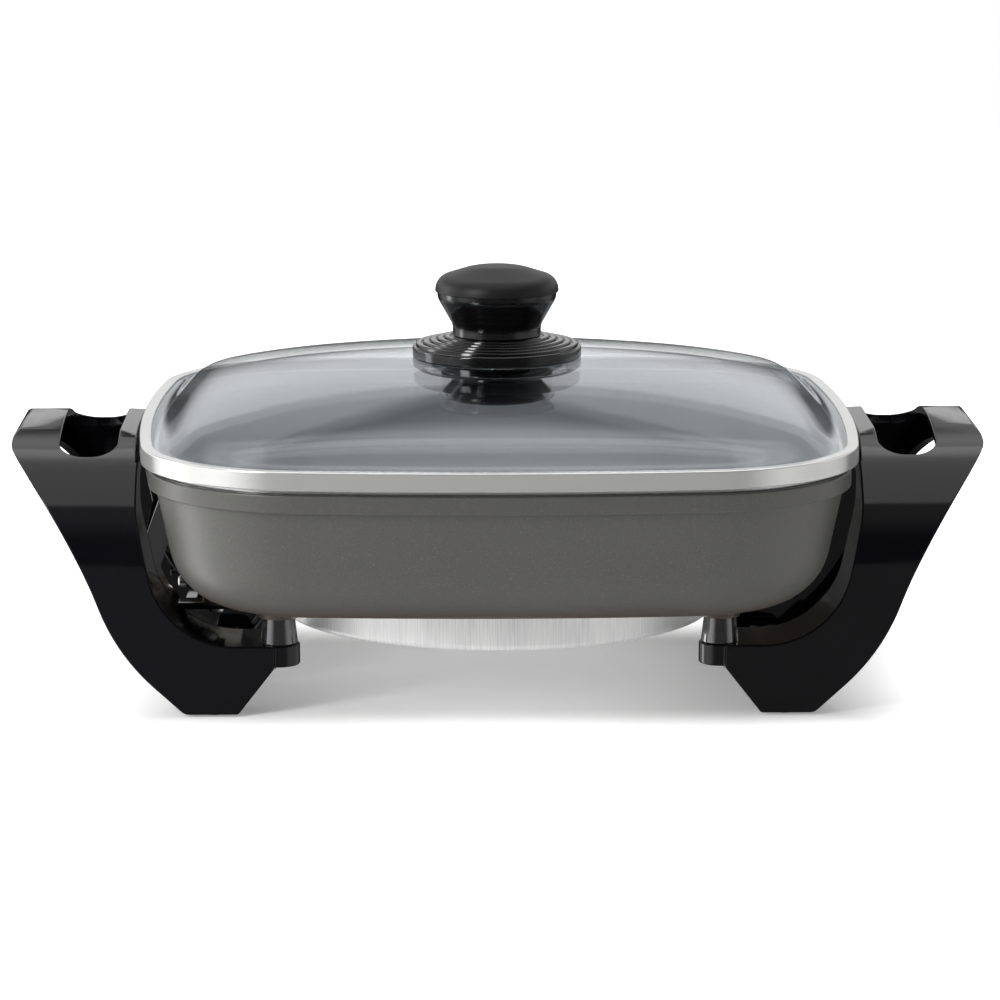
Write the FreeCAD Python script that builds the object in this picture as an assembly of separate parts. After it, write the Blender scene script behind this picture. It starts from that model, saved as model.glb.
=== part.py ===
import FreeCAD, Part
import math
import os

# Square electric skillet: cast pan on two handle-and-leg mouldings, with a domed glass lid.
# Millimetres. +Z is up and the origin is on the floor under the middle of the pan.
# -X is the end where the heat control plugs in, -Y is the front.

os.makedirs("parts", exist_ok=True)

Vector = FreeCAD.Vector
UP = Vector(0, 0, 1)

# Plan outlines: a rounded square with gently bowed sides
lid_half = 158.0
lid_corner_radius = 74.0
side_bow_radius = 880.0
lid_overhang = 3.0

# Heights of the stack, from the floor up
foot_proud = 1.0
shelf_top = 31.3
spacer_height = 11.4
boss_height = 9.8
pan_depth = 58.8

# Pan casting
floor_thickness = 5.0
wall_thickness = 4.1
wall_draft = 6.0
rim_height = 7.9
rim_step = 3.1
rim_lip = 2.5
ledge_depth = 2.0
base_fillet = 28.0
draft_start = 22.3
hub_margin = 14.0
ridge_half_width = 7.0
boss_radius = 8.6

# Posts that hold the handles
post_x = 96.0
post_y = 70.0
screw_radius = 2.2
screw_clearance = 0.3
screw_depth = 7.0
hole_depth = 8.0
screw_head_radius = 4.2
screw_head_height = 2.6
collar_radius = 9.15
collar_height = 9.6
spacer_top_radius = 7.0
spacer_bottom_radius = 8.2

# Heating element and its terminals
element_ring_radius = 78.0
element_tube_radius = 4.0
element_drop = 6.0
element_bend = 14.0
pin_pitch = 26.0
pin_radius = 2.5
pin_length = 23.0
pin_root_radius = 2.0
pin_tip_round = 1.0
terminal_inset = 42.0
sensor_radius = 4.0
sensor_depth = 45.0
lug_wall = 3.0
bush_radius = 5.5
bush_length = 9.0
bracket_thickness = 1.5
bracket_screw_radius = 1.5
cheek_half = 25.0
cheek_thickness = 8.0

# Reflector dish under the element
dish_radius = 98.0
dish_sheet = 1.0
dish_depth = 18.7
dish_gap = 1.0
dish_edge = 3.0
dish_notch = 52.0
dish_post_gap = 1.5

# Handle mouldings
handle_gap = 2.2
handle_wall = 4.0
handle_half_width = 80.0
shoulder_radius = 53.0
handle_rise = 9.8
handle_crown_radius = 138.0
handle_crown_slope = 17.7
grip_depth = 14.0
handle_reach = 59.8
flange_half_opening = 43.0
outer_lip_opening = 71.0
grip_wall_drop = 3.3
lid_clearance = 1.6
slot_half_length = 52.0
slot_width = 25.4
slot_start = 9.7
slot_radius = 11.0
foot_block_opening = 58.0
shelf_past_post = 1.7

# Rubber feet
foot_inset = 32.7
foot_y = 70.0
foot_radius = 6.0
foot_recess = 2.2
foot_gap = 0.3

# Probe guard
guard_gap = 0.4
guard_wall = 3.0
guard_floor_gap = 1.2
guard_drop = 37.3
guard_window_half = 25.0
guard_window_height = 18.0
guard_boss_inset = 30.0
guard_boss_y = 36.0
guard_boss_radius = 6.0
guard_screw_radius = 1.6

# Lid band and glass
band_sheet = 0.8
band_height = 8.0
band_gap = 2.3
band_lip = 5.0
bead_width = 2.2
bead_gap = 0.7
glass_thickness = 4.0
glass_gap = 0.3
crown_radius = 800.0
crown_rise = 25.2
shoulder_start = 7.5
shoulder_run = 22.0
shoulder_lift = 15.5

# Knob stack
skirt_radius = 37.7
skirt_edge = 5.8
skirt_ridges = 5
ridge_pitch = 3.2
ridge_rise = 0.75
neck_radius = 19.7
knob_radius = 27.6
knob_height = 19.8
cap_height = 11.6
insert_radius = 5.0
insert_length = 15.0
knob_screw_radius = 2.5
retainer_radius = 25.0
retainer_height = 14.0
retainer_web = 5.0
gasket_thickness = 1.2
gasket_radius = 15.0

# Values worked out from the ones above
boss_bottom = shelf_top + spacer_height
pan_bottom = boss_bottom + boss_height
rim_top = pan_bottom + pan_depth
rim_bottom = rim_top - rim_height
ledge_top = rim_top - ledge_depth
rim_half = lid_half - lid_overhang
rim_corner_radius = lid_corner_radius - lid_overhang
rim_bow_radius = side_bow_radius - lid_overhang
element_z = pan_bottom - element_drop
terminal_x = rim_half - terminal_inset
guard_boss_x = rim_half - guard_boss_inset
guard_bottom = shelf_top + guard_floor_gap
guard_top = rim_top - guard_drop
flange_x = rim_half + handle_gap
foot_x = flange_x - foot_inset
grip_top = rim_top + handle_rise
grip_wall_bottom = rim_top - grip_wall_drop
band_bottom = rim_top + band_gap
band_top = band_bottom + band_height
glass_edge_top = band_top - band_sheet
glass_edge_bottom = glass_edge_top - glass_thickness
crown_top = glass_edge_top + crown_rise
skirt_top = crown_top + skirt_edge + (skirt_ridges + 0.2) * ridge_rise
knob_top = skirt_top + knob_height


def rounded(points):
    """Closed wire in the XZ plane from (x, z, corner radius) points."""
    count = len(points)
    corners = []
    for index, (x, z, radius) in enumerate(points):
        here = Vector(x, 0, z)
        before = Vector(points[index - 1][0], 0, points[index - 1][1]) - here
        after = Vector(points[(index + 1) % count][0], 0, points[(index + 1) % count][1]) - here
        before.normalize()
        after.normalize()
        if radius == 0:
            corners.append((here, None, here))
            continue
        half_angle = before.getAngle(after) / 2
        reach = radius / math.tan(half_angle)
        middle = before + after
        middle.normalize()
        arc_middle = here + middle * (radius / math.sin(half_angle) - radius)
        corners.append((here + before * reach, arc_middle, here + after * reach))
    edges = []
    for index in range(count):
        start, middle, end = corners[index]
        if middle is not None:
            edges.append(Part.Arc(start, middle, end).toShape())
        following = corners[(index + 1) % count][0]
        if (following - end).Length > 1e-6:
            edges.append(Part.LineSegment(end, following).toShape())
    return Part.Wire(edges)


def face(points):
    return Part.Face(rounded(points))


def turned(points):
    """Solid of revolution about Z from a closed (radius, z, corner radius) section."""
    return face(points).revolve(Vector(0, 0, 0), UP, 360)


def rod(radius, start, axis, length):
    return Part.makeCylinder(radius, length, start, axis)


def block(x0, x1, y0, y1, z0, z1):
    return Part.makeBox(x1 - x0, y1 - y0, z1 - z0, Vector(x0, y0, z0))


def joined(shapes):
    return shapes[0].multiFuse(shapes[1:]).removeSplitter()


def outline_centres(half, corner_radius, bow_radius):
    """Centre of the right side's arc, centre of its upper corner and the angle where they meet."""
    bow_x = half - bow_radius
    span = bow_radius - corner_radius
    corner = (bow_x + math.sqrt(2 * span ** 2 - bow_x ** 2)) / 2
    return bow_x, corner, math.degrees(math.atan2(corner, corner - bow_x))


def ring(section, half, corner_radius, bow_radius):
    """Sweeps an (inset, z) section round the rounded square; inset is measured in from the outline."""
    bow_x, corner, meet = outline_centres(half, corner_radius, bow_radius)
    shape = face([(-inset, z, radius) for inset, z, radius in section])
    pieces = []
    for quarter in range(4):
        for centre, radius, start, stop in (
                (Vector(bow_x, 0, 0), bow_radius, -meet, meet),
                (Vector(corner, corner, 0), corner_radius, meet, 90 - meet)):
            piece = shape.copy()
            piece.translate(Vector(radius, 0, 0))
            piece.rotate(Vector(0, 0, 0), UP, start)
            piece.translate(centre)
            piece = piece.revolve(centre, UP, stop - start)
            piece.rotate(Vector(0, 0, 0), UP, 90 * quarter)
            pieces.append(piece)
    return joined(pieces)


def plate(inset, bottom, top, half, corner_radius, bow_radius):
    """Solid slab with the rounded square outline, drawn in by the inset."""
    bow_x, corner, meet = outline_centres(half, corner_radius, bow_radius)
    edges = []
    for quarter in range(4):
        for centre, radius, start, stop in (
                (Vector(bow_x, 0, bottom), bow_radius - inset, -meet, meet),
                (Vector(corner, corner, bottom), corner_radius - inset, meet, 90 - meet)):
            points = []
            for angle in (start, (start + stop) / 2, stop):
                turn = math.radians(angle)
                points.append(centre + Vector(radius * math.cos(turn), radius * math.sin(turn), 0))
            arc = Part.Arc(*points).toShape()
            arc.rotate(Vector(0, 0, 0), UP, 90 * quarter)
            edges.append(arc)
    return Part.Face(Part.Wire(edges)).extrude(Vector(0, 0, top - bottom))


def pan_ring(section):
    return ring(section, rim_half, rim_corner_radius, rim_bow_radius)


def pan_plate(inset, bottom, top):
    return plate(inset, bottom, top, rim_half, rim_corner_radius, rim_bow_radius)


def lid_ring(section):
    return ring(section, lid_half, lid_corner_radius, side_bow_radius)


def lid_plate(inset, bottom, top):
    return plate(inset, bottom, top, lid_half, lid_corner_radius, side_bow_radius)


def both_sides(shape):
    return [shape, shape.mirror(Vector(0, 0, 0), Vector(0, 1, 0))]


def element_path():
    """Half of the element's centre line: straight cold end, bend, then the ring to +X."""
    pin_y = pin_pitch / 2
    bend_y = pin_y + element_bend
    bend_x = -math.sqrt((element_ring_radius + element_bend) ** 2 - bend_y ** 2)
    join = math.atan2(-bend_y, -bend_x)
    centre = Vector(bend_x, bend_y, element_z)
    points = []
    for angle in (-math.pi / 2, (join - math.pi / 2) / 2, join):
        points.append(centre + Vector(math.cos(angle), math.sin(angle), 0) * element_bend)
    ring_angle = math.pi + join
    ring_points = []
    for angle in (ring_angle, ring_angle / 2, 0):
        ring_points.append(Vector(math.cos(angle), math.sin(angle), 0) * element_ring_radius
                           + Vector(0, 0, element_z))
    outer = Vector(-terminal_x + 2, pin_y, element_z)
    return outer, points, ring_points


def element_tube(radius):
    """The element's tube, or the groove that it lies in, both halves."""
    outer, bend, curve = element_path()
    path = Part.Wire([Part.LineSegment(outer, bend[0]).toShape(),
                      Part.Arc(*bend).toShape(),
                      Part.Arc(bend[2], curve[1], curve[2]).toShape()])
    section = Part.Wire(Part.Circle(outer, Vector(1, 0, 0), radius).toShape())
    half = path.makePipeShell([section], True, False)
    return joined(both_sides(half))


def pan():
    slope = (wall_draft, rim_bottom - (pan_bottom + draft_start))
    length = math.hypot(*slope)
    across = wall_thickness * length / slope[1]
    reach = rim_step + slope[0] * (rim_bottom - pan_bottom) / slope[1]
    inner_reach = rim_step + across + slope[0] * (rim_bottom - pan_bottom - floor_thickness) / slope[1]
    ledge_inset = rim_step + across - slope[0] * (ledge_top - rim_bottom) / slope[1]
    middle = reach + base_fillet + hub_margin
    inner_fillet = base_fillet - wall_thickness
    shell = pan_ring([
        (0, rim_top, 0.8), (0, rim_bottom, 0.8), (rim_step, rim_bottom, 0.6),
        (reach, pan_bottom, base_fillet), (middle, pan_bottom, 0),
        (middle, pan_bottom + floor_thickness, 0),
        (inner_reach, pan_bottom + floor_thickness, inner_fillet),
        (ledge_inset, ledge_top, 0.6), (rim_lip, ledge_top, 0.4), (rim_lip, rim_top, 0.6)])
    pieces = [shell, pan_plate(middle, pan_bottom, pan_bottom + floor_thickness)]
    seat = floor_thickness / 2
    for x in (-post_x, post_x):
        for y in (-post_y, post_y):
            pieces.append(rod(boss_radius, Vector(x, y, boss_bottom), UP, boss_height + seat))
    for y in (-guard_boss_y, guard_boss_y):
        pieces.append(rod(guard_boss_radius, Vector(-guard_boss_x, y, boss_bottom), UP, boss_height + seat))
    pieces.append(rod(boss_radius, Vector(0, 0, dish_floor()), UP, pan_bottom + seat - dish_floor()))
    ridge = turned([
        (element_ring_radius - ridge_half_width, pan_bottom + seat, 0), (element_ring_radius - ridge_half_width, element_z, 0),
        (element_ring_radius + ridge_half_width, element_z, 0), (element_ring_radius + ridge_half_width, pan_bottom + seat, 0)])
    pieces.append(ridge)
    body = joined(pieces)
    cuts = [element_tube(element_tube_radius),
            block(-terminal_x, -terminal_x + sensor_depth + 5, -sensor_radius - lug_wall - 0.5,
                  sensor_radius + lug_wall + 0.5, dish_floor(), pan_bottom),
            rod(screw_radius, Vector(0, 0, dish_floor() - 1), UP, 11)]
    for x in (-post_x, post_x):
        for y in (-post_y, post_y):
            cuts.append(rod(screw_radius, Vector(x, y, boss_bottom - 1), UP, hole_depth + 1))
    for y in (-guard_boss_y, guard_boss_y):
        cuts.append(rod(guard_screw_radius, Vector(-guard_boss_x, y, boss_bottom - 1), UP, hole_depth + 1))
    return body.cut(cuts)


def dish_floor():
    """Height of the top of the dish's floor."""
    return pan_bottom - dish_gap - dish_depth + dish_sheet


def reflector_dish():
    low = dish_floor() - dish_sheet
    high = low + dish_depth
    shell = turned([
        (0, low, 0), (dish_radius, low, dish_edge), (dish_radius, high, 0),
        (dish_radius - dish_sheet, high, 0),
        (dish_radius - dish_sheet, low + dish_sheet, dish_edge - dish_sheet), (0, low + dish_sheet, 0)])
    notch = block(-dish_radius - 1, -dish_radius + 12, -dish_notch / 2, dish_notch / 2,
                  low + dish_edge + 1, high + 1)
    hole = rod(screw_radius + screw_clearance, Vector(0, 0, low - 1), UP, dish_sheet + 2)
    posts = [rod(boss_radius + dish_post_gap, Vector(x, y, low - 1), UP, dish_depth + 2)
             for x in (-post_x, post_x) for y in (-post_y, post_y)]
    return shell.cut([notch, hole] + posts)


def dish_screw():
    low = dish_floor() - dish_sheet
    return turned([
        (0, low - 2.4, 0), (5.0, low - 2.4, 0.8), (5.0, low, 0), (screw_radius, low, 0),
        (screw_radius, dish_floor() + 9, 0.5), (0, dish_floor() + 9, 0)])


def terminal_pins():
    pins = []
    root = -terminal_x + 2
    shoulder = bush_front()
    for y in (-pin_pitch / 2, pin_pitch / 2):
        pin = turned([
            (0, 0, 0), (pin_root_radius, 0, 0), (pin_root_radius, root - shoulder, 0),
            (pin_radius, root - shoulder, 0), (pin_radius, root - shoulder + pin_length, pin_tip_round),
            (0, root - shoulder + pin_length, 0)])
        pin.rotate(Vector(0, 0, 0), Vector(0, 1, 0), -90)
        pin.translate(Vector(root, y, element_z))
        pins.append(pin)
    return Part.makeCompound(pins)


def bush_front():
    """X of the bushes' outer faces, where the pins' free ends start."""
    return -terminal_x + 2 - bush_length


def terminal_bushes():
    bushes = []
    for y in (-pin_pitch / 2, pin_pitch / 2):
        start = Vector(-terminal_x + 2, y, element_z)
        body = rod(bush_radius, start, Vector(-1, 0, 0), bush_length)
        bushes.append(body.cut(rod(pin_root_radius, start, Vector(-1, 0, 0), bush_length)))
    return Part.makeCompound(bushes)


def probe_socket():
    """Cast T under the pan: the sensor tube's bore, and a cheek that the element's ends pass through."""
    lug_half = sensor_radius + lug_wall
    stem = block(-terminal_x, -terminal_x + sensor_depth + 4, -lug_half, lug_half,
                 element_z - lug_half, pan_bottom)
    cheek = block(-terminal_x, -terminal_x + cheek_thickness, -cheek_half, cheek_half,
                  element_z - lug_half, pan_bottom)
    body = joined([stem, cheek])
    cuts = [rod(sensor_radius, Vector(-terminal_x - 1, 0, element_z), Vector(1, 0, 0), sensor_depth + 1)]
    for y in (-pin_pitch / 2, pin_pitch / 2):
        cuts.append(rod(element_tube_radius + screw_clearance, Vector(-terminal_x - 1, y, element_z),
                        Vector(1, 0, 0), cheek_thickness + 2))
        cuts.append(rod(bush_radius + screw_clearance, Vector(-terminal_x - 1, y, element_z),
                        Vector(1, 0, 0), 3.3))
    for y in (-cheek_half + 3, cheek_half - 3):
        cuts.append(rod(bracket_screw_radius, Vector(-terminal_x - 1, y, element_z), Vector(1, 0, 0), 7))
    return body.cut(cuts)


def terminal_bracket():
    low = element_z - sensor_radius - lug_wall
    body = block(-terminal_x - bracket_thickness, -terminal_x, -cheek_half, cheek_half, low, pan_bottom)
    cuts = [rod(sensor_radius + 1, Vector(-terminal_x - 3, 0, element_z), Vector(1, 0, 0), 6)]
    for y in (-pin_pitch / 2, pin_pitch / 2):
        cuts.append(rod(bush_radius + screw_clearance, Vector(-terminal_x - 3, y, element_z),
                        Vector(1, 0, 0), 6))
    for y in (-cheek_half + 3, cheek_half - 3):
        cuts.append(rod(bracket_screw_radius, Vector(-terminal_x - 3, y, element_z), Vector(1, 0, 0), 6))
    return body.cut(cuts)


def bracket_screws():
    screws = []
    face_x = -terminal_x - bracket_thickness
    for y in (-cheek_half + 3, cheek_half - 3):
        shank = rod(bracket_screw_radius, Vector(face_x, y, element_z), Vector(1, 0, 0), bracket_thickness + 5)
        head = rod(2.6, Vector(face_x - 1.6, y, element_z), Vector(1, 0, 0), 1.6)
        screws.append(shank.fuse(head))
    return Part.makeCompound(screws)


def handle_outline():
    """Side view of a handle and its legs at the +X end."""
    outer = flange_x + handle_reach
    shelf_end = post_x + shelf_past_post
    return Part.Face(rounded([
        (flange_x, grip_top - 4.6, 1.0), (flange_x + 30.8, grip_top + 1.5, 90), (outer, grip_top - 3.5, 4),
        (flange_x + 29.3, shelf_top + 50.2, 190), (flange_x + 8.8, foot_proud + 26.5, 90),
        (foot_x + 12.5, foot_proud, 5), (foot_x - 10.8, foot_proud, 2), (shelf_end, shelf_top - 9.8, 0),
        (shelf_end, shelf_top, 0), (flange_x - 11.7, shelf_top, 38), (flange_x, shelf_top + 56.7, 50)]))


def handle_arch(inset):
    """End view of the handle: upright sides, round shoulders and a crowned top, drawn in by the inset."""
    half = handle_half_width
    slope = math.radians(handle_crown_slope)
    peak = grip_top + handle_crown_radius * (1 / math.cos(slope) - 1)
    shoulder = peak - half * math.tan(slope)
    low = -20
    arch = Part.Face(rounded([
        (-half, low, 0), (-half, shoulder, shoulder_radius), (0, peak, handle_crown_radius),
        (half, shoulder, shoulder_radius), (half, low, 0)]))
    if inset > 0:
        arch = arch.makeOffset2D(-inset)
    arch.rotate(Vector(0, 0, 0), UP, 90)
    return arch.extrude(Vector(400, 0, 0))


def handle():
    """The moulding at the +X end."""
    side = handle_outline()
    side.translate(Vector(0, -100, 0))
    body = side.extrude(Vector(0, 200, 0)).common(handle_arch(0))
    body = body.cut(lid_plate(-lid_clearance, grip_wall_bottom, grip_top + 10))
    hollow = handle_outline().makeOffset2D(-handle_wall)
    hollow.translate(Vector(0, -100, 0))
    hollow = hollow.extrude(Vector(0, 200, 0)).common(handle_arch(handle_wall))
    hollow = hollow.cut(lid_plate(-lid_clearance - handle_wall, grip_wall_bottom - 4, grip_top + 10))
    opening = flange_half_opening
    lip = outer_lip_opening
    under_grip = handle_arch(grip_depth)
    passage = block(post_x - 20, flange_x + 80, -opening, opening, -10, grip_top).common(under_grip)
    outer_side = Part.Face(rounded([
        (flange_x + 22, grip_top, 0), (flange_x + 9, shelf_top + 38.7, 20),
        (flange_x - 7, shelf_top + 8.7, 20), (foot_x, foot_proud + 13, 0),
        (flange_x + 80, foot_proud + 13, 0), (flange_x + 80, grip_top, 0)]))
    outer_side.translate(Vector(0, -lip, 0))
    outer_side = outer_side.extrude(Vector(0, 2 * lip, 0)).common(under_grip)
    feet_gap = block(post_x - 20, flange_x + 80, -foot_block_opening, foot_block_opening, -10,
                     foot_proud + 13)
    slot_middle = flange_x + slot_start + slot_width / 2
    slot = Part.Face(rounded([
        (slot_middle - slot_width / 2, -slot_half_length, slot_radius),
        (slot_middle + slot_width / 2, -slot_half_length, slot_radius),
        (slot_middle + slot_width / 2, slot_half_length, slot_radius),
        (slot_middle - slot_width / 2, slot_half_length, slot_radius)]))
    slot.rotate(Vector(0, 0, 0), Vector(1, 0, 0), 90)
    slot.translate(Vector(0, 0, grip_wall_bottom - 10))
    slot = slot.extrude(Vector(0, 0, 60))
    body = body.cut([hollow, passage, outer_side, feet_gap, slot])
    additions = []
    for y in (-post_y, post_y):
        additions.append(rod(collar_radius, Vector(post_x, y, shelf_top - collar_height), UP, collar_height))
    for y in (-foot_y, foot_y):
        pad = rod(foot_radius + 3, Vector(foot_x, y, foot_proud), UP, 8)
        additions.append(pad.common(side.extrude(Vector(0, 200, 0))))
    body = joined([body] + additions)
    cuts = []
    for y in (-post_y, post_y):
        base = shelf_top - collar_height
        cuts.append(rod(screw_radius + screw_clearance, Vector(post_x, y, base - 1), UP, collar_height + 2))
        cuts.append(rod(screw_head_radius + screw_clearance, Vector(post_x, y, base - 1), UP,
                        screw_head_height + 2))
    for y in (-foot_y, foot_y):
        cuts.append(rod(foot_radius + foot_gap, Vector(foot_x, y, foot_proud - 1), UP, foot_recess + 1))
    return body.cut(cuts)


def guard_screws():
    screws = []
    for y in (-guard_boss_y, guard_boss_y):
        low = boss_bottom - guard_wall
        shank = rod(guard_screw_radius, Vector(-guard_boss_x, y, low), UP, guard_wall + screw_depth)
        head = turned([(0, low - 2.2, 0), (3.4, low - 2.2, 0.8), (3.4, low, 0), (0, low, 0)])
        head.translate(Vector(-guard_boss_x, y, 0))
        screws.append(shank.fuse(head))
    return Part.makeCompound(screws)


def probe_guard():
    """Curved panel between the left handle's flanges, with a window for the heat control."""
    half = flange_half_opening - guard_gap
    outer = handle_outline()
    inner = handle_outline().makeOffset2D(-guard_wall)
    panel = outer.cut(inner)
    panel.translate(Vector(0, -half, 0))
    panel = panel.extrude(Vector(0, 2 * half, 0))
    panel = panel.common(block(guard_boss_x - 6, flange_x + 4, -half, half, guard_bottom, guard_top))
    pieces = [panel]
    tab_low = boss_bottom - guard_wall
    for y in (-guard_boss_y, guard_boss_y):
        tab = block(guard_boss_x - 6, flange_x - 8, y - 6, y + 6, tab_low, boss_bottom)
        pieces.append(tab.common(whole_side(half).fuse(block(guard_boss_x - 6, guard_boss_x + 22, -half, half,
                                                              tab_low, boss_bottom))))
    body = joined(pieces)
    window = Part.Face(rounded([
        (-guard_window_half, element_z - guard_window_height / 2, 4),
        (guard_window_half, element_z - guard_window_height / 2, 4),
        (guard_window_half, element_z + guard_window_height / 2, 4),
        (-guard_window_half, element_z + guard_window_height / 2, 4)]))
    window.rotate(Vector(0, 0, 0), UP, 90)
    window.translate(Vector(guard_boss_x - 10, 0, 0))
    cuts = [window.extrude(Vector(60, 0, 0))]
    for y in (-guard_boss_y, guard_boss_y):
        cuts.append(rod(guard_screw_radius + screw_clearance, Vector(guard_boss_x, y, tab_low - 1), UP, 6))
    return body.cut(cuts).mirror(Vector(0, 0, 0), Vector(1, 0, 0))


def whole_side(half):
    """The handle's side view as a solid block across the middle of the handle."""
    side = handle_outline()
    side.translate(Vector(0, -half, 0))
    return side.extrude(Vector(0, 2 * half, 0))


def spacer(x, y):
    body = turned([
        (screw_radius + screw_clearance, shelf_top, 0), (spacer_bottom_radius, shelf_top, 0.4),
        (spacer_top_radius, boss_bottom, 0.4), (screw_radius + screw_clearance, boss_bottom, 0)])
    body.translate(Vector(x, y, 0))
    return body


def leg_screws():
    screws = []
    head_top = shelf_top - collar_height + screw_head_height + 1
    for x in (-post_x, post_x):
        for y in (-post_y, post_y):
            low = head_top - screw_head_height
            shank = rod(screw_radius, Vector(x, y, head_top), UP, boss_bottom + screw_depth - head_top)
            head = turned([(0, low, 0), (screw_head_radius, low, 0.8),
                           (screw_head_radius, head_top, 0), (0, head_top, 0)])
            head.translate(Vector(x, y, 0))
            slot = block(x - 5, x + 5, y - 0.5, y + 0.5, low - 1, low + 0.9)
            screws.append(shank.fuse(head).cut(slot))
    return Part.makeCompound(screws)


def rubber_foot(x, y):
    top = foot_proud + foot_recess
    body = turned([(0, 0, 0), (foot_radius, 0, 0.6), (foot_radius, top, 0.3), (0, top, 0)])
    body.translate(Vector(x, y, 0))
    return body


def lid_band():
    bead_inset = lid_overhang + rim_lip + bead_gap
    return lid_ring([
        (0, band_top, 0.7), (band_lip, band_top, 0.3), (band_lip, glass_edge_top, 0.3),
        (band_sheet, glass_edge_top, 0.1), (band_sheet, band_bottom + band_sheet, 0.1),
        (bead_inset, band_bottom + band_sheet, 0), (bead_inset, glass_edge_bottom, 0.3),
        (bead_inset + bead_width, glass_edge_bottom, 0.3), (bead_inset + bead_width, ledge_top, 0.6),
        (bead_inset, ledge_top, 0.6), (bead_inset, band_bottom, 0), (0, band_bottom, 0.7)])


def glass_form(drop, inset):
    """Solid under one face of the glass: a steep shoulder all round, capped by a shallow crown."""
    base = glass_edge_bottom - 30
    edge = band_sheet + glass_gap
    rise = shoulder_lift / shoulder_run
    far = shoulder_start + shoulder_run + 12
    shoulder = lid_ring([
        (edge, base, 0), (edge, glass_edge_top - drop, 0),
        (shoulder_start + inset, glass_edge_top - drop, 6),
        (shoulder_start + 13 + inset, glass_edge_top - drop + 11.5, 18),
        (far, glass_edge_top - drop + 11.5 + (far - shoulder_start - 13 - inset) * rise * 0.42, 0),
        (far, base, 0)])
    slab = lid_plate(far, base, glass_edge_top - drop + 11.5
                     + (far - shoulder_start - 13 - inset) * rise * 0.42)
    dome_top = crown_top + 0.9 - drop
    dome = Part.makeSphere(crown_radius, Vector(0, 0, dome_top - crown_radius))
    core = lid_plate(far - 0.5, base, crown_top - drop)
    under = joined([shoulder, slab])
    raised = joined([under, core])
    return raised.common(dome).common(block(-200, 200, -200, 200, base, crown_top - drop))


def lid_glass():
    body = glass_form(0, 0).cut(glass_form(glass_thickness, 1.5))
    body = body.cut(block(-200, 200, -200, 200, -100, glass_edge_bottom))
    return body.cut(rod(knob_screw_radius + 1.5, Vector(0, 0, crown_top - 10), UP, 20))


def knob_skirt():
    section = [(knob_screw_radius + screw_clearance, crown_top + gasket_thickness, 0),
               (gasket_radius + 0.3, crown_top + gasket_thickness, 0), (gasket_radius + 0.3, crown_top, 0),
               (skirt_radius, crown_top, 0.8), (skirt_radius, crown_top + skirt_edge, 1.2)]
    for ridge in range(skirt_ridges):
        level = crown_top + skirt_edge + ridge * ridge_rise
        outer = skirt_radius - 1.4 - ridge * ridge_pitch
        section += [(outer, level - 0.5, 0), (outer - 0.3, level + 0.9, 0.6),
                    (outer - ridge_pitch + 0.6, level + 0.9, 0.6),
                    (outer - ridge_pitch + 0.4, level - 0.5 + ridge_rise, 0)]
    section += [(neck_radius, skirt_top, 0.5), (knob_screw_radius + screw_clearance, skirt_top, 0)]
    return turned(section)


def knob_body():
    body = turned([
        (0, skirt_top, 0), (neck_radius, skirt_top, 0.5), (neck_radius, skirt_top + 4.8, 7),
        (knob_radius - 1.2, knob_top - 3, 5), (knob_radius - 0.9, knob_top, 0), (0, knob_top, 0)])
    hollow = rod(insert_radius, Vector(0, 0, skirt_top - 1), UP, insert_length + 1)
    recess = rod(10.3, Vector(0, 0, knob_top - 3), UP, 4)
    return body.cut([hollow, recess])


def knob_cap():
    return turned([
        (0, knob_top - 2.6, 0), (10, knob_top - 2.6, 0), (10, knob_top, 0), (knob_radius, knob_top, 0.4),
        (knob_radius - 0.6, knob_top + cap_height - 5.4, 7), (11, knob_top + cap_height - 0.3, 30),
        (0, knob_top + cap_height, 0)])


def knob_insert():
    start = Vector(0, 0, skirt_top)
    return rod(insert_radius, start, UP, insert_length).cut(
        rod(knob_screw_radius, start, UP, insert_length - 2))


def upper_gasket():
    start = Vector(0, 0, crown_top)
    return rod(gasket_radius, start, UP, gasket_thickness).cut(
        rod(knob_screw_radius + screw_clearance, start, UP, gasket_thickness))


def lower_gasket():
    start = Vector(0, 0, crown_top - glass_thickness - gasket_thickness)
    return rod(gasket_radius, start, UP, gasket_thickness).cut(
        rod(knob_screw_radius + screw_clearance, start, UP, gasket_thickness))


def knob_retainer():
    top = crown_top - glass_thickness - gasket_thickness
    low = top - retainer_height
    return turned([
        (knob_screw_radius + screw_clearance, top - retainer_web, 0),
        (screw_head_radius + 1.5, top - retainer_web, 0), (screw_head_radius + 3, low, 0.5),
        (retainer_radius - 1, low, 5), (retainer_radius, top, 0.8),
        (knob_screw_radius + screw_clearance, top, 0)])


def knob_screw():
    head_top = crown_top - glass_thickness - gasket_thickness - retainer_web
    shank = rod(knob_screw_radius, Vector(0, 0, head_top), UP, skirt_top + 9 - head_top)
    head = turned([(0, head_top - 3, 0), (screw_head_radius, head_top - 3, 1.2),
                   (screw_head_radius, head_top, 0), (0, head_top, 0)])
    slot = block(-5, 5, -0.6, 0.6, head_top - 4, head_top - 1.8)
    return shank.fuse(head).cut(slot)


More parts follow.
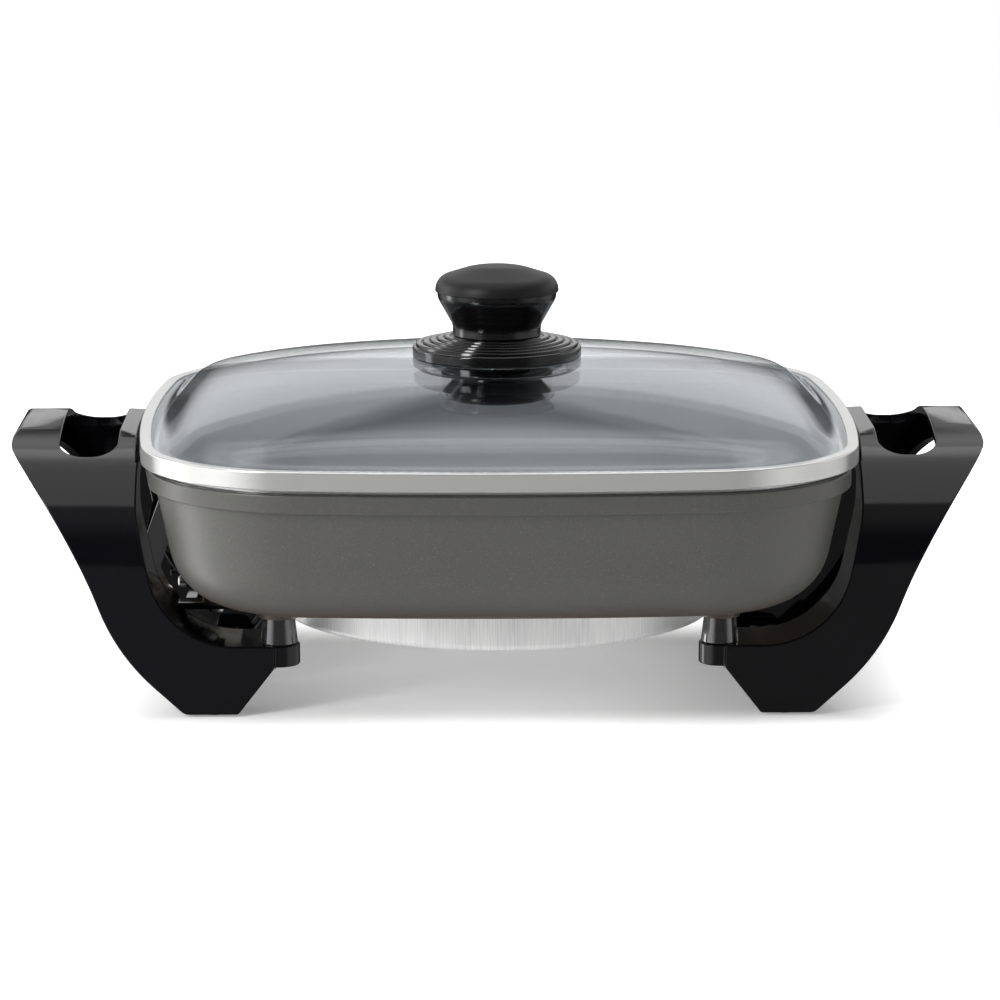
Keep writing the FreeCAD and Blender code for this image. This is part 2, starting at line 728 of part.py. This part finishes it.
right = handle()
nodes = {
    "pan": pan(),
    "heating_element": element_tube(element_tube_radius),
    "probe_socket": probe_socket(),
    "terminal_pins": terminal_pins(),
    "terminal_bushes": terminal_bushes(),
    "terminal_bracket": terminal_bracket(),
    "bracket_screws": bracket_screws(),
    "reflector_dish": reflector_dish(),
    "dish_screw": dish_screw(),
    "right_handle": right,
    "left_handle": right.mirror(Vector(0, 0, 0), Vector(1, 0, 0)),
    "probe_guard": probe_guard(),
    "guard_screws": guard_screws(),
    "leg_screws": leg_screws(),
    "lid_band": lid_band(),
    "lid_glass": lid_glass(),
    "knob_skirt": knob_skirt(),
    "knob_body": knob_body(),
    "knob_cap": knob_cap(),
    "knob_insert": knob_insert(),
    "upper_gasket": upper_gasket(),
    "lower_gasket": lower_gasket(),
    "knob_retainer": knob_retainer(),
    "knob_screw": knob_screw(),
}
for front, y_sign in (("front", -1), ("rear", 1)):
    for end, x_sign in (("left", -1), ("right", 1)):
        nodes[front + "_" + end + "_spacer"] = spacer(x_sign * post_x, y_sign * post_y)
        nodes[front + "_" + end + "_foot"] = rubber_foot(x_sign * foot_x, y_sign * foot_y)

for name, shape in nodes.items():
    shape.exportStep("parts/" + name + ".step")
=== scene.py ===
import math
import bmesh
import bpy
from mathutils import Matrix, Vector


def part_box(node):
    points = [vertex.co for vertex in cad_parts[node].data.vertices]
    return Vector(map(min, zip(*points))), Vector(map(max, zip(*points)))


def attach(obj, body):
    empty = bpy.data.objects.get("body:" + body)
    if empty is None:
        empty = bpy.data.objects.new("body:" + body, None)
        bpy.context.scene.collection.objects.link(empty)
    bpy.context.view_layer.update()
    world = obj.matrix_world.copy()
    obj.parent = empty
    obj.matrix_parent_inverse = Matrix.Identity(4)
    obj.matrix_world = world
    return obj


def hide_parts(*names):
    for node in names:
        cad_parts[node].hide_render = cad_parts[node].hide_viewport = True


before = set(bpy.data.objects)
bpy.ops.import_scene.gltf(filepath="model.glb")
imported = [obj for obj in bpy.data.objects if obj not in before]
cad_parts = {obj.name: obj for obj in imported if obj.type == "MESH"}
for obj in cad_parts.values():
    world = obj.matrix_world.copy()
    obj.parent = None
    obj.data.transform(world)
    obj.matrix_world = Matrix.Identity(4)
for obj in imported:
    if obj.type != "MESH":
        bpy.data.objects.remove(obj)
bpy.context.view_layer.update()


# Cast aluminium pan. Outside it carries a satin warm grey coat with painted shade, darker and browner
# round the bottom edge; inside it carries a cooler non-stick coat. The two meet under the rim's ledge.
class Signal:
    """A value in a node tree; Python's operators add the Math nodes that combine it."""

    def __init__(self, nodes, socket):
        self.nodes = nodes
        self.socket = socket

    def __add__(self, other):
        return self.nodes.maths("ADD", self, other)

    def __sub__(self, other):
        return self.nodes.maths("SUBTRACT", self, other)

    def __rsub__(self, other):
        return self.nodes.maths("SUBTRACT", other, self)

    def __mul__(self, other):
        return self.nodes.maths("MULTIPLY", self, other)

    def __truediv__(self, other):
        return self.nodes.maths("DIVIDE", self, other)

    __radd__ = __add__
    __rmul__ = __mul__


class Nodes:
    """An emptied node tree and the ways to add nodes to it."""

    def __init__(self, tree):
        self.tree = tree
        self.tree.nodes.clear()

    def node(self, kind, settings, inputs, output=0):
        made = self.tree.nodes.new(kind)
        for key, value in settings.items():
            setattr(made, key, value)
        for key, value in inputs.items():
            if isinstance(value, Signal):
                self.tree.links.new(value.socket, made.inputs[key])
            else:
                made.inputs[key].default_value = value
        return Signal(self, made.outputs[output])

    def maths(self, operation, first, second):
        return self.node("ShaderNodeMath", {"operation": operation}, {0: first, 1: second})

    def absolute(self, value):
        return self.maths("ABSOLUTE", value, 0.0)

    def place(self):
        """Where a point is on the object."""
        return self.node("ShaderNodeTexCoord", {}, {}, "Object")

    def facing(self):
        """Which way a surface faces on the object."""
        return self.node("ShaderNodeTexCoord", {}, {}, "Normal")

    def split(self, vector):
        """A vector's x, y and z."""
        return [self.node("ShaderNodeSeparateXYZ", {}, {0: vector}, axis) for axis in range(3)]

    def noise(self, vector, scale, detail=3.0, roughness=0.5):
        return self.node("ShaderNodeTexNoise", {},
                         {"Vector": vector, "Scale": scale, "Detail": detail, "Roughness": roughness})

    def stretched(self, x, y, z):
        return self.node("ShaderNodeCombineXYZ", {}, {0: x, 1: y, 2: z})

    def ramp(self, value, start, stop, low=0.0, high=1.0):
        return self.node("ShaderNodeMapRange", {"interpolation_type": "SMOOTHSTEP"},
                         {0: value, 1: start, 2: stop, 3: low, 4: high})

    def blend(self, amount, first, second):
        return self.node("ShaderNodeMix", {"data_type": "RGBA"}, {0: amount, 6: first, 7: second}, 2)

    def relief(self, height, strength, distance):
        return self.node("ShaderNodeBump", {},
                         {"Strength": strength, "Distance": distance, "Height": height}, "Normal")

    def principled(self, **sockets):
        inputs = {name.replace("_", " "): value for name, value in sockets.items()}
        return self.node("ShaderNodeBsdfPrincipled", {}, inputs)

    def end(self, kind, shader):
        """Links the last shader to an output of this kind."""
        output = self.tree.nodes.new(kind)
        self.tree.links.new(shader.socket, output.inputs["Surface"])


class Finish(Nodes):
    """One surface finish: a material and its nodes."""

    def __init__(self, name):
        self.material = bpy.data.materials.new(name)
        self.material.use_nodes = True
        super().__init__(self.material.node_tree)

    def surface(self, **sockets):
        self.end("ShaderNodeOutputMaterial", self.principled(**sockets))


def give(material, *names):
    """Puts a material on CAD nodes."""
    for name in names:
        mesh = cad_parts[name].data
        mesh.materials.clear()
        mesh.materials.append(material)


ledge_drop = 0.0018
coat_overlap = 0.0003
rim_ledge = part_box("pan")[1].z - ledge_drop

coat = Finish("pan_coat")
here = coat.place()
x, y, z = coat.split(here)
face_x, face_y, face_z = coat.split(coat.facing())
never_zero = 1e-6
from_middle = coat.maths("POWER", x * x + y * y + never_zero, 0.5)
outward = (x * face_x + y * face_y) / from_middle
inner_wall = coat.ramp(outward, -0.02, -0.12)
inner_floor = coat.ramp(face_z, 0.15, 0.4)
under_ledge = coat.ramp(z, rim_ledge + coat_overlap, rim_ledge - coat_overlap)
inside = coat.maths("MAXIMUM", inner_wall, inner_floor) * under_ledge
# Painted shade: the outside coat turns darker and browner towards the bottom edge.
bottom_painted_shade = coat.ramp(z + coat.noise(here, 22.0) * 0.006, 0.0665, 0.0550)
flake = coat.noise(here, 2600.0, 2.0)
cloud = coat.noise(here, 9.0, 4.0)
outside_colour = coat.blend(cloud, (0.071, 0.070, 0.065, 1), (0.085, 0.084, 0.078, 1))
outside_colour = coat.blend(bottom_painted_shade * 0.8, outside_colour, (0.058, 0.042, 0.031, 1))
inside_colour = coat.blend(cloud, (0.190, 0.196, 0.202, 1), (0.225, 0.232, 0.238, 1))
coat_colour = coat.blend(inside, outside_colour, inside_colour)
coat_colour = coat.blend(coat.ramp(flake, 0.60, 0.72) * 0.35, coat_colour, (0.26, 0.255, 0.24, 1))
coat.surface(
    Base_Color=coat_colour,
    Metallic=0.22 - inside * 0.05,
    Roughness=0.36 + cloud * 0.06 + inside * 0.06,
    Normal=coat.relief(coat.noise(here, 900.0, 4.0), 0.05, 0.0004))
give(coat.material, "pan")


# Cast socket under the pan for the heat control: bare aluminium, dull and grainy from the mould.
casting = Finish("bare_casting")
here = casting.place()
casting_grain = casting.noise(here, 520.0, 5.0)
casting.surface(
    Base_Color=casting.blend(casting_grain, (0.40, 0.40, 0.39, 1), (0.58, 0.58, 0.57, 1)),
    Metallic=1.0,
    Roughness=0.42 + casting_grain * 0.16,
    Normal=casting.relief(casting_grain, 0.30, 0.0004))
give(casting.material, "probe_socket")


# Tubular element in its groove under the pan, with its two pins, ceramic bushes and plated bracket.
# The sheath is heat-blued steel; the pins are polished for the heat control's sockets.
sheath = Finish("element_sheath")
here = sheath.place()
sheath_cloud = sheath.noise(here, 60.0, 4.0)
sheath.surface(
    Base_Color=sheath.blend(sheath_cloud, (0.20, 0.18, 0.17, 1), (0.36, 0.33, 0.31, 1)),
    Metallic=1.0,
    Roughness=0.34 + sheath_cloud * 0.2)
give(sheath.material, "heating_element")

pin_metal = Finish("terminal_metal")
x, y, z = pin_metal.split(pin_metal.place())
pin_lathe = pin_metal.noise(pin_metal.stretched(x * 6000.0, y * 60.0, z * 60.0), 1.0, 2.0)
pin_metal.surface(
    Base_Color=pin_metal.blend(pin_lathe, (0.62, 0.60, 0.56, 1), (0.78, 0.76, 0.72, 1)),
    Metallic=1.0,
    Roughness=0.16 + pin_lathe * 0.14)
give(pin_metal.material, "terminal_pins")

ceramic = Finish("ceramic")
here = ceramic.place()
ceramic_grain = ceramic.noise(here, 700.0, 3.0)
ceramic.surface(
    Base_Color=ceramic.blend(ceramic_grain, (0.74, 0.71, 0.64, 1), (0.84, 0.82, 0.77, 1)),
    Roughness=0.48 + ceramic_grain * 0.15,
    Normal=ceramic.relief(ceramic_grain, 0.15, 0.0003))
give(ceramic.material, "terminal_bushes")

zinc = Finish("zinc_plate")
here = zinc.place()
zinc_grain = zinc.noise(here, 420.0, 4.0)
zinc.surface(
    Base_Color=zinc.blend(zinc_grain, (0.50, 0.50, 0.50, 1), (0.68, 0.68, 0.67, 1)),
    Metallic=1.0,
    Roughness=0.22 + zinc_grain * 0.16)
give(zinc.material, "terminal_bracket", "bracket_screws", "dish_screw", "guard_screws",
     "leg_screws", "knob_screw")


# Reflector dish: one millimetre of bright rolled aluminium, drawn into a shallow round dish.
# Drawing left fine upright streaks down its wall and faint rings on its floor.
dish = Finish("dish_aluminium")
x, y, z = dish.split(dish.place())
around = dish.maths("ARCTAN2", y, x)
streaks = dish.noise(dish.stretched(around * 150.0, z * 25.0, 0.0), 1.0, 4.0, 0.65)
broad = dish.noise(dish.stretched(around * 9.0, z * 10.0, 3.0), 1.0, 3.0)
radius = dish.maths("POWER", x * x + y * y, 0.5)
rings = dish.noise(dish.stretched(radius * 900.0, 0.0, 0.0), 1.0, 3.0)
dish_tone = streaks * 0.6 + broad * 0.25 + rings * 0.15
dish.surface(
    Base_Color=dish.blend(dish.ramp(dish_tone, 0.3, 0.7), (0.66, 0.67, 0.67, 1), (0.95, 0.95, 0.94, 1)),
    Metallic=0.42,
    Roughness=0.34 + streaks * 0.22,
    Normal=dish.relief(streaks, 0.25, 0.0006))
give(dish.material, "reflector_dish")


# Handle-and-leg mouldings: black phenolic, polished by the mould, with every outer edge eased.
# Each is one hollow arch that carries the pan on four posts.
def pick(piece):
    """Leaves this piece as the only one selected, in object mode."""
    if bpy.context.object and bpy.context.object.mode != "OBJECT":
        bpy.ops.object.mode_set(mode="OBJECT")
    bpy.ops.object.select_all(action="DESELECT")
    piece.select_set(True)
    bpy.context.view_layer.objects.active = piece


def reshape(piece, kind, **settings):
    """Adds one modifier to the picked piece and applies it."""
    modifier = piece.modifiers.new(kind.lower(), kind)
    for key, value in settings.items():
        setattr(modifier, key, value)
    bpy.ops.object.modifier_apply(modifier=modifier.name)


def settle(piece, angle):
    """Smooths a finished piece's shading, with creases sharper than the angle kept."""
    pick(piece)
    bpy.ops.object.shade_smooth_by_angle(angle=math.radians(angle))


def eased_copy(node, name, width, material):
    """A copy of a CAD moulding, welded, with its sharp edges rounded to the width."""
    weld = 2e-5
    flat = math.radians(0.6)
    sharp = math.radians(32)
    piece = bpy.data.objects.new(name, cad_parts[node].data.copy())
    bpy.context.scene.collection.objects.link(piece)
    pick(piece)
    bpy.ops.object.mode_set(mode="EDIT")
    bpy.ops.mesh.select_all(action="SELECT")
    bpy.ops.mesh.remove_doubles(threshold=weld)
    bpy.ops.mesh.dissolve_limited(angle_limit=flat)
    bpy.ops.object.mode_set(mode="OBJECT")
    reshape(piece, "BEVEL", limit_method="ANGLE", angle_limit=sharp, width=width, segments=3,
            use_clamp_overlap=False)
    piece.data.materials.clear()
    piece.data.materials.append(material)
    settle(piece, 30)
    reshape(piece, "WEIGHTED_NORMAL", keep_sharp=True)
    return piece


phenolic = Finish("phenolic_gloss")
here = phenolic.place()
flow = phenolic.noise(here, 28.0, 3.0)
peel = phenolic.noise(here, 210.0, 2.0)
handling = phenolic.noise(here, 1500.0, 3.0)
phenolic.surface(
    Base_Color=phenolic.blend(flow, (0.0016, 0.0016, 0.0024, 1), (0.0030, 0.0030, 0.0040, 1)),
    Roughness=0.055 + flow * 0.04 + handling * 0.03,
    Specular_IOR_Level=0.45,
    Normal=phenolic.relief(peel * 0.7 + flow * 0.3, 0.05, 0.0006))

for end in ("left", "right"):
    moulding = eased_copy(end + "_handle", end + "_handle_moulding", 0.0009, phenolic.material)
    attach(moulding, "base")
    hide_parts(end + "_handle")
guard = eased_copy("probe_guard", "probe_guard_moulding", 0.0005, phenolic.material)
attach(guard, "base")
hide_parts("probe_guard")


# Tapered spacers between the legs and the pan's posts, turned and blackened, with the rubber foot
# pads pressed into the legs. The knob's two gaskets are of the same rubber.
spacer = Finish("blackened_spacer")
x, y, z = spacer.split(spacer.place())
spacer_grain = spacer.noise(spacer.stretched(x * 300.0, y * 300.0, z * 2200.0), 1.0, 3.0)
spacer.surface(
    Base_Color=spacer.blend(spacer_grain, (0.15, 0.15, 0.155, 1), (0.22, 0.22, 0.225, 1)),
    Metallic=0.9,
    Roughness=0.08 + spacer_grain * 0.08)
rubber = Finish("foot_rubber")
here = rubber.place()
rubber_grain = rubber.noise(here, 1300.0, 4.0)
rubber.surface(
    Base_Color=rubber.blend(rubber_grain, (0.012, 0.012, 0.012, 1), (0.030, 0.030, 0.030, 1)),
    Roughness=0.72 + rubber_grain * 0.15,
    Normal=rubber.relief(rubber_grain, 0.25, 0.0003))
for side in ("front", "rear"):
    for end in ("left", "right"):
        give(spacer.material, side + "_" + end + "_spacer")
        give(rubber.material, side + "_" + end + "_foot")
give(rubber.material, "upper_gasket", "lower_gasket")


# Lid glass: four millimetre tempered sheet, sagged over a former into a shallow crown with a steep
# shoulder all round. Its edge sits in the steel band.
band_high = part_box("lid_band")[1]
glass_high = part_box("lid_glass")[1]
band_half = band_high.x
lip_over_glass = 0.0008
glass_edge = band_high.z - lip_over_glass
glass_sheet = 0.004
corner_radius = 0.074
bow_radius = 0.880
crown_radius = 0.800
segments = 40


def outline_point(turn, inset):
    """Point on the lid's rounded square, drawn in by the inset; turn runs from 0 to 8 round the arcs."""
    bow_x = band_half - bow_radius
    span = bow_radius - corner_radius
    corner = (bow_x + math.sqrt(2 * span ** 2 - bow_x ** 2)) / 2
    meet = math.atan2(corner, corner - bow_x)
    quarter = int(turn // 2) % 4
    share = turn % 2
    if share < 1:
        angle = meet * (2 * share - 1)
        point = Vector((bow_x, 0)) + Vector((math.cos(angle), math.sin(angle))) * (bow_radius - inset)
    else:
        angle = meet + (math.pi / 2 - 2 * meet) * (share - 1)
        point = Vector((corner, corner))
        point += Vector((math.cos(angle), math.sin(angle))) * (corner_radius - inset)
    turned = quarter * math.pi / 2
    return Vector((point.x * math.cos(turned) - point.y * math.sin(turned),
                   point.x * math.sin(turned) + point.y * math.cos(turned)))


def soft_step(distance, softness):
    """Nothing below zero, the distance itself above it, and a smooth turn between."""
    return softness * math.log1p(math.exp(min(distance / softness, 60)))


def glass_height(point, inset):
    """Top of the glass: the steep shoulder by the inset, capped softly by the crown."""
    slope = 0.885
    slope_start = 0.0095
    eased_by = 0.60
    easing_start = 0.0215
    shoulder = slope * soft_step(inset - slope_start, 0.0016)
    shoulder -= eased_by * soft_step(inset - easing_start, 0.0035)
    crown_over_top = 0.0009
    crown = glass_high.z + crown_over_top - glass_edge - point.length_squared / (2 * crown_radius)
    softness = 0.0016
    low, high = min(shoulder, crown), max(shoulder, crown)
    height = low - softness * math.log1p(math.exp(-(high - low) / softness))
    below_top = 0.00002
    return glass_edge + max(0.0, min(height, glass_high.z - glass_edge - below_top))


def lid_glass():
    """The glass as a closed sheet: rings that follow the rim, then rings that grow round to the hub."""
    shape = bmesh.new()
    insets = [0.0011, 0.004, 0.0065, 0.0085, 0.010, 0.0115, 0.013, 0.0145, 0.016, 0.018, 0.020, 0.022,
              0.0245, 0.027, 0.030, 0.034, 0.039, 0.046]
    crown_rings = 22
    round_radius = 0.112
    hub_radius = 0.0045
    rings = []
    for inset in insets:
        points = [outline_point(step / segments, inset) for step in range(8 * segments)]
        rings.append([shape.verts.new((p.x, p.y, glass_height(p, inset))) for p in points])
    last = [Vector(vert.co[:2]) for vert in rings[-1]]
    for step in range(1, crown_rings + 1):
        share = step / crown_rings
        ring = []
        for point in last:
            ray = point.normalized()
            along = point.lerp(ray * hub_radius, share)
            even = ray * (round_radius * (1 - share) + hub_radius * share)
            along = along.lerp(even, min(1.0, share * 1.6))
            height = glass_height(along, insets[-1] + 0.1 * share)
            ring.append(shape.verts.new((along.x, along.y, height)))
        rings.append(ring)
    for outer, inner in zip(rings, rings[1:]):
        for index in range(len(outer)):
            following = (index + 1) % len(outer)
            shape.faces.new((outer[index], outer[following], inner[following], inner[index]))
    mesh = bpy.data.meshes.new("lid_glass_sheet")
    shape.to_mesh(mesh)
    shape.free()
    piece = bpy.data.objects.new("lid_glass_sheet", mesh)
    bpy.context.scene.collection.objects.link(piece)
    pick(piece)
    reshape(piece, "SOLIDIFY", thickness=glass_sheet, offset=-1, use_even_offset=True)
    settle(piece, 40)
    return piece


glass = Finish("tempered_glass")
glass_index = 1.5
leaving = glass.node("ShaderNodeNewGeometry", {}, {}, "Backfacing")
either_face = glass_index - leaving * (glass_index - 1 / glass_index)
fresnel = glass.node("ShaderNodeFresnel", {}, {"IOR": either_face})
through = glass.node("ShaderNodeBsdfTransparent", {}, {"Color": (0.957, 0.968, 0.971, 1)})
gloss = glass.principled(Base_Color=(0.91, 0.95, 1.0, 1), Metallic=1.0, Roughness=0.02)
mixed = glass.node("ShaderNodeMixShader", {}, {0: fresnel, 1: through, 2: gloss})
glass.end("ShaderNodeOutputMaterial", mixed)
sheet = lid_glass()
sheet.data.materials.append(glass.material)
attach(sheet, "lid")
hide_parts("lid_glass")


# Lid band: rolled stainless strip round the glass, buffed along its length, with the bead below
# that drops inside the pan's rim.
band = Finish("band_steel")
here = band.place()
x, y, z = band.split(here)
buff = band.noise(band.stretched(x * 20.0, y * 20.0, z * 9000.0), 1.0, 3.0)
band_cloud = band.noise(here, 40.0, 3.0)
band.surface(
    Base_Color=band.blend(buff, (0.60, 0.60, 0.59, 1), (0.76, 0.76, 0.75, 1)),
    Metallic=0.74,
    Roughness=0.16 + buff * 0.03 + band_cloud * 0.03)
give(band.material, "lid_band")


# Knob: gloss phenolic skirt with turned ridges and waisted body, a satin cap on top, a brass
# insert inside and a moulded retainer under the glass.
knob_gloss = Finish("knob_gloss")
here = knob_gloss.place()
knob_flow = knob_gloss.noise(here, 45.0, 3.0)
knob_gloss.surface(
    Base_Color=knob_gloss.blend(knob_flow, (0.0016, 0.0016, 0.0020, 1), (0.0034, 0.0034, 0.0038, 1)),
    Roughness=0.09 + knob_flow * 0.06,
    Specular_IOR_Level=0.45,
    Normal=knob_gloss.relief(knob_flow, 0.05, 0.0005))
give(knob_gloss.material, "knob_skirt", "knob_body", "knob_retainer")

knob_satin = Finish("knob_satin")
here = knob_satin.place()
satin_grain = knob_satin.noise(here, 1700.0, 3.0)
satin_cloud = knob_satin.noise(here, 50.0, 3.0)
knob_satin.surface(
    Base_Color=knob_satin.blend(satin_cloud, (0.0085, 0.0080, 0.0090, 1), (0.0135, 0.0130, 0.0140, 1)),
    Roughness=0.36 + satin_cloud * 0.08,
    Specular_IOR_Level=0.2,
    Normal=knob_satin.relief(satin_grain, 0.22, 0.0003))
give(knob_satin.material, "knob_cap")

brass = Finish("brass")
x, y, z = brass.split(brass.place())
brass_turning = brass.noise(brass.stretched(x * 60.0, y * 60.0, z * 5000.0), 1.0, 2.0)
brass.surface(
    Base_Color=brass.blend(brass_turning, (0.68, 0.50, 0.22, 1), (0.80, 0.62, 0.32, 1)),
    Metallic=1.0,
    Roughness=0.22 + brass_turning * 0.12)
give(brass.material, "knob_insert")


# Studio: a white table that glows with painted light, bright all round the object and dim under it
# as a painted shadow, soft lights overhead and at the left, white surroundings that gloss and fill
# light see as shaped glows, and a long lens a little to the left of the middle.
table_drop = 0.0001
bpy.ops.mesh.primitive_plane_add(size=5, location=(0, 0, -table_drop))
floor = bpy.context.object
floor.name = "studio_floor"
floor.visible_glossy = False
table = Finish("studio_table")
x, y = table.split(table.place())[:2]
# Painted light and painted shadow: the table glows though it is no lamp, full beyond the object and dim
# under it, so the glow's edge draws the shadow's edge.
painted_glow_beside = table.ramp(table.absolute(x), 0.12, 0.22)
painted_glow_ahead = table.ramp(table.absolute(y), 0.065, 0.125)
painted_shadow_level = 0.20
painted_floor_glow = painted_shadow_level + table.maths("MAXIMUM", painted_glow_beside, painted_glow_ahead) * (1 - painted_shadow_level)
table.surface(Base_Color=(0.85, 0.85, 0.85, 1), Roughness=0.7, Specular_IOR_Level=0.1,
              Emission_Color=table.stretched(painted_floor_glow, painted_floor_glow, painted_floor_glow), Emission_Strength=1.0)
floor.data.materials.append(table.material)


def soft_light(name, place, target, width, depth, power):
    lamp = bpy.data.lights.new(name, "AREA")
    lamp.shape = "RECTANGLE"
    lamp.size = width
    lamp.size_y = depth
    lamp.energy = power
    holder = bpy.data.objects.new(name, lamp)
    bpy.context.scene.collection.objects.link(holder)
    holder.location = place
    holder.rotation_euler = (Vector(target) - Vector(place)).to_track_quat("-Z", "Y").to_euler()
    holder.visible_camera = False
    return holder


overhead = soft_light("overhead_softbox", (0.0, 0.05, 1.35), (0, 0.0, 0.1), 1.5, 0.7, 13.0)
overhead.visible_glossy = False
soft_light("left_softbox", (-0.80, -0.80, 0.60), (0, 0, 0.08), 0.25, 0.6, 8.0)

world = bpy.data.worlds.new("studio_world")
bpy.context.scene.world = world
world.use_nodes = True
sky = Nodes(world.node_tree)
sky_x, sky_y, sky_z = sky.split(sky.node("ShaderNodeTexCoord", {}, {}, "Generated"))
behind = sky.ramp(sky_y, 0.0, 0.30)
sideways = sky.absolute(sky_x)
low_band = sky.ramp(sky_z, 0.345, 0.315) * sky.ramp(sky_z, 0.02, 0.12, 0.08, 1.0)
low_peak = sky.ramp(sky_z - sideways * 2.0, 0.38, 0.30) * sky.ramp(sky_z, 0.02, 0.12)
backdrop = behind * low_band * 0.40
flare = behind * low_peak * 0.48
left_glow = sky.ramp(sky_x, -0.45, -0.95) * sky.ramp(sky_z, 0.60, 0.30) * 1.15
right_glow = sky.ramp(sky_x, 0.55, 0.95) * sky.ramp(sky_z, 0.60, 0.30) * 0.60
in_front = sky.ramp(sky_y, 0.0, -0.5) * sky.ramp(sky_z, -0.02, -0.12) * 0.16
strip = sky.ramp(sky.absolute(sky_y - 0.30), 0.16, 0.06) * sky.ramp(sky_x, -0.60, -0.75)
strip = strip * sky.ramp(sky_z, 0.55, 0.35) * 3.4
upper = sky.ramp(sky_z, 0.30, 0.75) * 0.22 + sky.ramp(sky_z, 0.785, 0.835) * 0.95
behind_above = sky.ramp(sky_y, 0.22, 0.40) * sky.ramp(sky_z, 0.55, 0.72)
dim = 0.03
glow = dim + backdrop + flare + left_glow + right_glow + in_front + strip + upper + behind_above
ambient = 0.22 + sky.ramp(sky_x, 0.3, -0.8) * 0.50
seen = sky.node("ShaderNodeLightPath", {}, {}, "Is Camera Ray")
mirrored = sky.node("ShaderNodeLightPath", {}, {}, "Is Glossy Ray")
strength = seen + mirrored * glow + (1.0 - seen) * (1.0 - mirrored) * ambient
light = sky.node("ShaderNodeBackground", {}, {"Color": (1, 1, 1, 1), "Strength": strength})
sky.end("ShaderNodeOutputWorld", light)

aim = Vector((0.0014, 0.0, 0.0805))
azimuth = math.radians(-1.0)
elevation = math.radians(10.8)
distance = 1.85
lens = bpy.data.cameras.new("camera")
lens.lens = 147.9
lens.sensor_width = 36.0
camera = bpy.data.objects.new("camera", lens)
bpy.context.scene.collection.objects.link(camera)
camera.location = aim + Vector((math.sin(azimuth) * math.cos(elevation),
                                -math.cos(azimuth) * math.cos(elevation),
                                math.sin(elevation))) * distance
camera.rotation_euler = (aim - camera.location).to_track_quat("-Z", "Y").to_euler()
bpy.context.scene.camera = camera
bpy.context.scene.view_settings.view_transform = "Standard"
